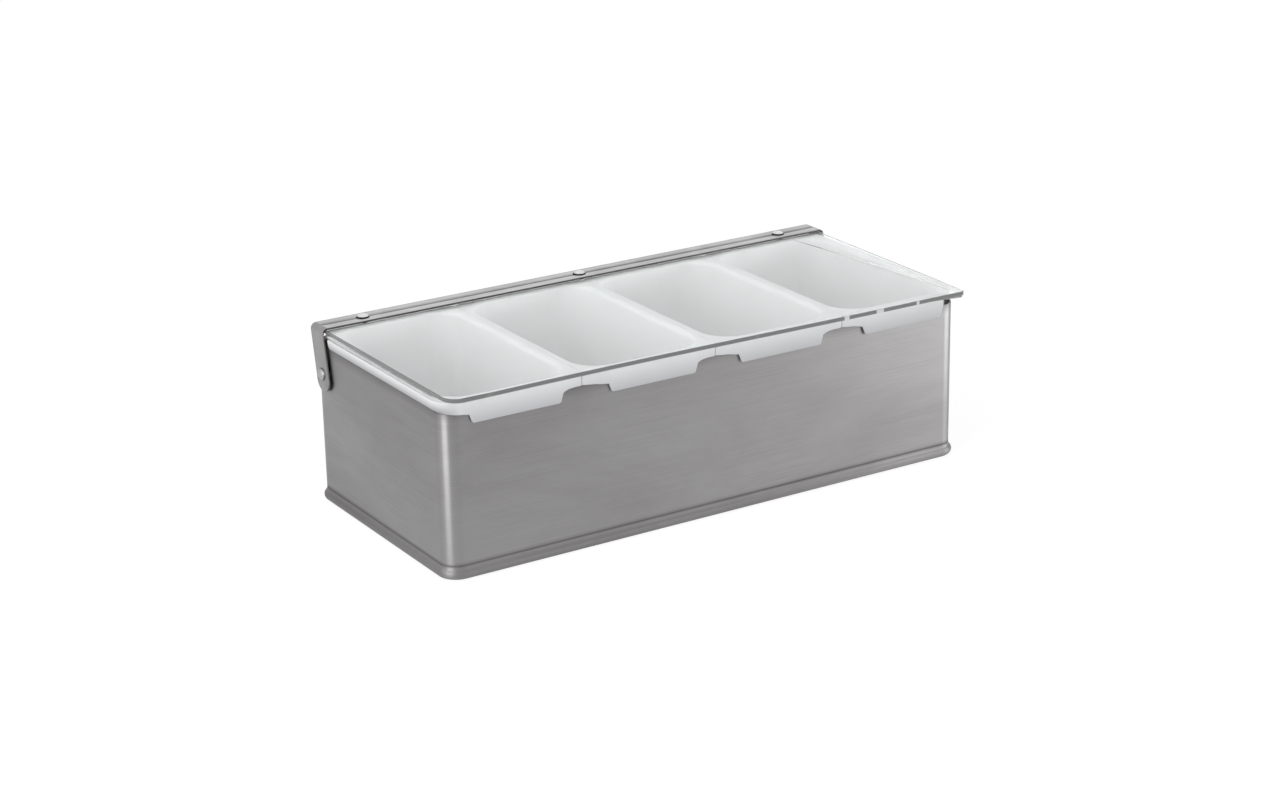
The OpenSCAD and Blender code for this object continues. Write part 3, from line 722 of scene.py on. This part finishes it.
def buildInsert(number):
    at = layOutInsert(number)
    top, under = insert["top"], insert["top"] - insert["skin"]
    piece = drawRim(number, at)
    drawLipStrip(at)
    sinkWell(at)
    pickAll()
    bpy.ops.mesh.normals_make_consistent(inside=False)
    bpy.ops.object.mode_set(mode="OBJECT")
    flat = max((face for face in piece.data.polygons if near(face.center.z/mm, top)),
               key=lambda face: face.area)
    if flat.normal.z < 0:
        piece.data.flip_normals()
    useModifier("SOLIDIFY", thickness=insert["skin"]*mm, offset=-1, use_even_offset=True)
    bpy.ops.object.mode_set(mode="EDIT")
    hangLip(at)
    drawTab(at)
    if at["first"]:  # the end lip's rounded rear end
        pick("EDGE", lambda p, n: near(p.x, at["left"] + insert["lipThick"]/2)
             and near(p.y, at["lipRear"]) and near(p.z, insert["endLipLow"]))
        roundOff("EDGES", insert["endLipRound"], insert["endLipSteps"])
    # the rim's top edges first, and then all the other sharp edges
    for lowest, wide, steps in ((top - same, insert["rimRound"], insert["rimSteps"]),
                                (0, insert["edgeRound"], insert["edgeSteps"])):
        bpy.ops.mesh.select_mode(type="EDGE")
        bpy.ops.mesh.select_all(action="DESELECT")
        bpy.ops.mesh.edges_select_sharp(sharpness=radians(50))
        pick("EDGE", lambda p, n: p.z > lowest and not near(p.z, under), narrow=True)
        roundOff("EDGES", wide, steps)
    piece.data.materials.append(bodyPlastic)
    piece.data.materials.append(shadedLipPlastic)
    # the front faces, and the first insert's left end, get the plastic painted greyer as shade
    greyX, greySum = insert["firstStep"][0] - 1, at["left"] + insert["front"] + insert["greyCorner"]
    pick("FACE", lambda p, n: p.y < insert["front"] + insert["greyFront"]
         or at["first"] and (p.x < greyX or p.x + p.y < greySum))
    piece.active_material_index = 1
    bpy.ops.object.material_slot_assign()
    bpy.ops.object.mode_set(mode="OBJECT")
    settle(piece, "housing", "insert_plastic", [bodyPlastic, shadedLipPlastic], "insert_%d" % number)
    useModifier("WEIGHTED_NORMAL", keep_sharp=True, weight=100)


for number in (1, 2, 3, 4):
    buildInsert(number)
print("stage: inserts made")


# Lid: one acrylic panel with rounded front corners and broken edges

lid = {
    "half": 148.7, "leftOut": 0.9, "front": -75.1, "rear": 65.0, "bottom": 90.35, "thickness": 2,
    "leftCorner": 8, "rightCorner": 2, "rearCorner": 2, "cornerSteps": 12,
    "edgeBreak": 0.18, "edgeSteps": 3, "greyEdge": 9,
    "rivets": (-126, 0, 126), "rivetY": 58.9, "rivetHole": 1.65,
    "bowFrom": 52, "bow": 0.55, "bowTop": -0.4, "bowTurn": 150, "sag": 0.75, "bowSteps": 14,
}


def bowLid(piece):
    # the front edge stands up a little left of its middle and sags to the right: each row
    # of points across the panel is turned about the line along the strip
    half, reach = lid["half"], lid["bowFrom"] - lid["front"]
    flatFrom = 1 - 2/lid["bowSteps"]  # the outer rows stay level, so that the ends are flat
    for step in range(1, lid["bowSteps"]):
        pickAll()
        bpy.ops.mesh.bisect(plane_co=mmPoint(2*half*step/lid["bowSteps"] - half, 0, 0),
                            plane_no=(1, 0, 0))
    pickAll()
    bpy.ops.mesh.bisect(plane_co=mmPoint(0, lid["bowFrom"], 0), plane_no=(0, 1, 0))
    points = bmesh.from_edit_mesh(piece.data).verts
    for x in sorted({round(point.co.x/mm, 2) for point in points}):
        along = max(-flatFrom, min(flatFrom, x/half))
        lift = lid["bow"]*cos(radians(lid["bowTurn"])*(along - lid["bowTop"]))
        lift -= lid["sag"]*(along + 1)/2
        pick("VERT", lambda p, n: near(p.x, x, 0.006) and p.y < lid["bowFrom"] - same)
        bpy.ops.transform.rotate(value=lift/reach, orient_axis="X",
                                 center_override=mmPoint(x, lid["bowFrom"], lid["bottom"]))


def buildLid():
    half, front, rear, bottom = lid["half"], lid["front"], lid["rear"], lid["bottom"]
    left = -half - lid["leftOut"]
    corners = [(left, front, bottom), (half, front, bottom),
               (half, rear, bottom), (left, rear, bottom)]
    radii = (lid["leftCorner"], lid["rightCorner"], lid["rearCorner"], lid["rearCorner"])
    piece = startPiece("acrylicLid", *corners[0])
    drawChain(corners)
    for corner, radius in zip(corners, radii):
        pick("VERT", lambda p, n: (p - Vector(corner)).length < same)
        roundOff("VERTICES", radius, lid["cornerSteps"])
    pick("EDGE", lambda p, n: True)
    bpy.ops.mesh.edge_face_add()
    extrudeBy(0, 0, lid["thickness"])
    pickAll()
    bpy.ops.mesh.normals_make_consistent(inside=False)
    pick("EDGE", lambda p, n: abs(n.z) < 0.1)
    roundOff("EDGES", lid["edgeBreak"], lid["edgeSteps"])
    bowLid(piece)
    bpy.ops.object.mode_set(mode="OBJECT")
    for x in lid["rivets"]:
        cutRound(lid["rivetHole"], overrun, (x, lid["rivetY"], bottom))
    piece.data.materials.append(clearAcrylic)
    piece.data.materials.append(acrylicEdge)
    bpy.ops.object.mode_set(mode="EDIT")
    # the sawn front and left edges, which are seen from outside, get the edge painted grey as shade
    pick("FACE", lambda p, n: -0.97 < n.z < 0.3 and n.x < 0.5
         and (p.x < lid["greyEdge"] - half or p.y < front + lid["greyEdge"]))
    piece.active_material_index = 1
    bpy.ops.object.material_slot_assign()
    bpy.ops.object.mode_set(mode="OBJECT")
    settle(piece, "lid", "lid_acrylic", [clearAcrylic, acrylicEdge], "lid_panel", smoothUnder=10)


buildLid()
print("stage: lid made")


# Hinge strip: half of it drawn across its width with the pressed line, carried along,
# bent down into the ear, mirrored and given its thickness

strip = {
    "rear": 65.5, "width": 13.2, "top": 93.35, "thickness": 0.98, "earOut": 151.8, "bend": 3,
    "bendSteps": 7, "lineMiddle": 58.9, "lineHalf": 1.6, "lineDepth": 0.3, "lineEnd": 4,
    "pivot": (55.3, 69.25), "pivotHole": 2.05, "earLow": 9, "earLean": 10.25,
    "earRoundShare": 0.97, "earSteps": 10, "holes": (-126, 0, 126), "hole": 1.65,
    "edgeRound": 0.18,
}


def buildStrip():
    rear, width, top, out = strip["rear"], strip["width"], strip["top"], strip["earOut"]
    flat, bendZ = out - strip["bend"], top - strip["bend"]
    across = [(0, rear, top)]
    for share, deep in ((1, 0), (0.5, 0.8), (0, 1), (-0.5, 0.8), (-1, 0)):  # the pressed line
        across.append((0, strip["lineMiddle"] + share*strip["lineHalf"],
                       top - deep*strip["lineDepth"]))
    across.append((0, rear - width, top))
    piece = startPiece("hingeStrip", *across[0])
    drawChain(across, closed=False)
    pickAll()
    extrudeBy(flat - strip["lineEnd"], 0, 0)
    extrudeBy(strip["lineEnd"], 0, 0)
    pick("VERT", lambda p, n: near(p.x, flat) and p.z < top - same)
    bpy.ops.transform.resize(value=(1, 1, 0), center_override=mmPoint(0, 0, top))
    pick("EDGE", lambda p, n: near(p.x, flat))
    bpy.ops.mesh.spin(steps=strip["bendSteps"], angle=radians(-90),
                      center=mmPoint(flat, 0, bendZ), axis=(0, 1, 0))
    # the ear leans forward to the pivot and ends half round
    pivotY, pivotZ = strip["pivot"]
    lean = radians(strip["earLean"])
    earHalf = width*cos(lean)/2
    endDown = earHalf - strip["earLow"]
    endY, endZ = pivotY + endDown*sin(lean), pivotZ + endDown*cos(lean)
    extrudeBy(0, endY - (rear - width/2), endZ - bendZ)
    bpy.ops.transform.resize(value=(1, earHalf*2/width, 1), center_override=mmPoint(out, endY, endZ))
    extrudeBy(0, 0, -earHalf)
    pick("VERT", lambda p, n: p.z < endZ - 1 and abs(p.y - endY) < earHalf - 0.5)
    bpy.ops.mesh.dissolve_verts()
    pick("VERT", lambda p, n: p.z < endZ - 1)
    roundOff("VERTICES", strip["earRoundShare"]*earHalf, strip["earSteps"])
    pickAll()
    bpy.ops.mesh.remove_doubles(threshold=same*mm)
    bpy.ops.mesh.normals_make_consistent(inside=False)
    bpy.ops.object.mode_set(mode="OBJECT")
    useModifier("MIRROR", use_axis=(True, False, False), use_clip=True, merge_threshold=same*mm)
    flatFace = max(piece.data.polygons, key=lambda face: face.area)
    if flatFace.normal.z < 0:
        piece.data.flip_normals()
    useModifier("SOLIDIFY", thickness=strip["thickness"]*mm, offset=-1, use_even_offset=True)
    useModifier("BEVEL", width=strip["edgeRound"]*mm, segments=2, limit_method="ANGLE",
                angle_limit=radians(60))
    for x in strip["holes"]:
        cutRound(strip["hole"], overrun, (x, strip["lineMiddle"], top))
    cutRound(strip["pivotHole"], 2*out + overrun, (0, pivotY, pivotZ), (0, radians(90), 0))
    for material in (stripSteel, litStripTop, stripEdgeShade):
        piece.data.materials.append(material)
    bpy.ops.object.mode_set(mode="EDIT")
    # slot 1 is the top painted lighter as lit from above, slot 2 the front edge painted nearly black as
    # shade
    for index, test in ((1, lambda p, n: n.z > 0.7 and p.z > top - 1 and abs(p.x) < flat),
                        (2, lambda p, n: n.y < -0.3 and p.z > top - 2)):
        pick("FACE", test)
        piece.active_material_index = index
        bpy.ops.object.material_slot_assign()
    bpy.ops.object.mode_set(mode="OBJECT")
    settle(piece, "lid", "hinge_steel", [stripSteel, litStripTop, stripEdgeShade], "hinge_strip")


buildStrip()
print("stage: hinge strip made")


# Rivets: a domed cap cut from a ball, its flat side inset to the shank and drawn out
# to the closed end

rivets = {
    "rim": 0.12, "steps": 40,
    "lid": {"head": 3.5, "headHeight": 1.5, "shank": 1.6, "tail": 2.6, "tailHeight": 0.5,
            "headAt": 93.4, "endAt": 89.3},
    "pivot": {"head": 3.4, "headHeight": 1.6, "shank": 2.0, "tail": 3.0, "tailHeight": 1.0,
              "headAt": 151.9, "endAt": 147.4},
}


def buildRivet(name, size):
    # stands on the origin, head upwards, with a low upright rim under the dome
    head, height, rim = size["head"], size["headHeight"], rivets["rim"]
    ball = (head*head + height*height)/(2*height)
    bpy.ops.object.select_all(action="DESELECT")
    bpy.ops.mesh.primitive_uv_sphere_add(segments=rivets["steps"], ring_count=rivets["steps"],
                                         radius=ball*mm, location=mmPoint(0, 0, height - ball))
    piece = bpy.context.object
    piece.name = piece.data.name = name
    bpy.ops.object.transform_apply(location=True, rotation=False, scale=False)
    bpy.ops.object.mode_set(mode="EDIT")
    pickAll()
    bpy.ops.mesh.bisect(plane_co=mmPoint(0, 0, rim), plane_no=(0, 0, 1), clear_inner=True,
                        use_fill=True)
    pick("FACE", lambda p, n: n.z < -0.9)
    extrudeBy(0, 0, -rim)
    bpy.ops.mesh.inset(thickness=(head - size["shank"])*mm)
    extrudeBy(0, 0, size["endAt"] + size["tailHeight"] - size["headAt"])
    extrudeBy(0, 0, 0)
    wider = size["tail"]/size["shank"]
    bpy.ops.transform.resize(value=(wider, wider, 1), center_override=(0, 0, 0))
    extrudeBy(0, 0, -size["tailHeight"])
    pickAll()
    bpy.ops.mesh.normals_make_consistent(inside=False)
    bpy.ops.object.mode_set(mode="OBJECT")
    return piece


size = rivets["lid"]
# the lid rivets, with the ring of painted shade up Z
lidRivetSteel = brushedStainless("lidRivetSteelPaintedLit", dict(
    rivetSteelLook, bands=("Z", size["headAt"], size["headAt"] + size["headHeight"], headShadeRing)))
for number, x in enumerate(lid["rivets"], 1):
    rivet = buildRivet("lidRivet%d" % number, size)
    rivet.location = mmPoint(x, lid["rivetY"], size["headAt"])
    bpy.ops.object.transform_apply()
    settle(rivet, "lid", "rivet_steel", [lidRivetSteel], "lid_rivet_%d" % number)
size = rivets["pivot"]
for side, sideName in ((-1, "Left"), (1, "Right")):
    headBottom, headTop = side*size["headAt"], side*(size["headAt"] + size["headHeight"])
    # the pivot rivets, with the ring of painted shade along X
    pivotRivetSteel = brushedStainless("pivotRivetSteelPaintedShade" + sideName, dict(
        pivotShadedSteelLook, bands=("X", headBottom, headTop, headShadeRing)))
    rivet = buildRivet("pivotRivet" + sideName, size)
    rivet.rotation_euler = (0, radians(90*side), 0)
    rivet.location = mmPoint(headBottom, *strip["pivot"])
    bpy.ops.object.transform_apply()
    settle(rivet, "housing", "rivet_steel", [pivotRivetSteel], "pivot_rivet_" + sideName.lower())
print("stage: rivets made")


# Base plate, washers and spacers keep their shape, in plain steel

for name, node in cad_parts.items():
    if name == "base_plate" or "washer" in name or "spacer" in name:
        node.data.materials.clear()
        node.data.materials.append(plainSteel)


# Floor, world and lamps, places and sizes in metres

studio = {
    "floor": "#e6e6e6", "floorSize": 12, "floorDown": 0.0001, "floorWhite": 1.3, "floorShare": 0.65,
    "ambient": 0.5,
    "lamps": {
        "softbox": {
            "place": (-1.45, -0.1, 0.98), "aim": (0, 0, 0.05), "size": (2.0, 1.6), "watts": 6.4},
        "rightFill": {
            "place": (1.62, -0.98, 0.28), "aim": (0.05, 0, 0.05), "size": (1.5, 0.55), "watts": 16.2},
        "cornerLamp": {
            "place": (-1.1, -0.44, 0.3), "aim": (-0.15, -0.06, 0.04), "size": (0.6, 0.7), "watts": 4.8},
    },
}


def seenDirectly(tree):
    # 1 where the camera, a shiny face or clear plastic looks, and 0 for the light it gives
    rays = addNode(tree, "ShaderNodeLightPath")
    seen = addNode(tree, "ShaderNodeMath", {"operation": "MAXIMUM"},
                   {0: rays.outputs["Is Camera Ray"], 1: rays.outputs["Is Glossy Ray"]})
    return addNode(tree, "ShaderNodeMath", {"operation": "MAXIMUM"},
                   {0: seen.outputs[0], 1: rays.outputs["Is Transmission Ray"]})


bpy.ops.object.select_all(action="DESELECT")
bpy.ops.mesh.primitive_plane_add(size=studio["floorSize"], location=(0, 0, -studio["floorDown"]))
floor = bpy.context.object
floor.name = "paleFloor"
# matt paper sweep: near white, and it keeps the object's shadow
floorMaterial, tree = newMaterial("paleFloor")
share = addNode(tree, "ShaderNodeMath", {"operation": "MULTIPLY", 1: studio["floorShare"]},
                {0: seenDirectly(tree).outputs[0]})
lit = addNode(tree, "ShaderNodeBsdfDiffuse", {"Color": hexToLinear(studio["floor"])})
white = addNode(tree, "ShaderNodeEmission", {"Strength": studio["floorWhite"]})
both = addNode(tree, "ShaderNodeMixShader",
               links={0: share.outputs[0], 1: lit.outputs[0], 2: white.outputs[0]})
addNode(tree, "ShaderNodeOutputMaterial", links={"Surface": both.outputs[0]})
floor.data.materials.append(floorMaterial)

world = bpy.data.worlds.new("studioWorld")
bpy.context.scene.world = world
world.use_nodes = True
tree = world.node_tree
tree.nodes.clear()
dim = addNode(tree, "ShaderNodeBackground", {"Color": (1, 1, 1, 1), "Strength": studio["ambient"]})
white = addNode(tree, "ShaderNodeBackground", {"Color": (1, 1, 1, 1), "Strength": 1})
both = addNode(tree, "ShaderNodeMixShader",
               links={0: seenDirectly(tree).outputs[0], 1: dim.outputs[0], 2: white.outputs[0]})
addNode(tree, "ShaderNodeOutputWorld", links={"Surface": both.outputs[0]})

for name, lamp in studio["lamps"].items():
    bpy.ops.object.light_add(type="AREA", location=lamp["place"])
    light = bpy.context.object
    light.name = name
    light.data.shape = "RECTANGLE"
    light.data.size, light.data.size_y = lamp["size"]
    light.data.energy = lamp["watts"]
    towards = Vector(lamp["aim"]) - Vector(lamp["place"])
    light.rotation_euler = towards.to_track_quat("-Z", "Y").to_euler()
    light.visible_camera = False
bpy.context.scene.view_settings.view_transform = "Standard"
print("stage: studio lit")
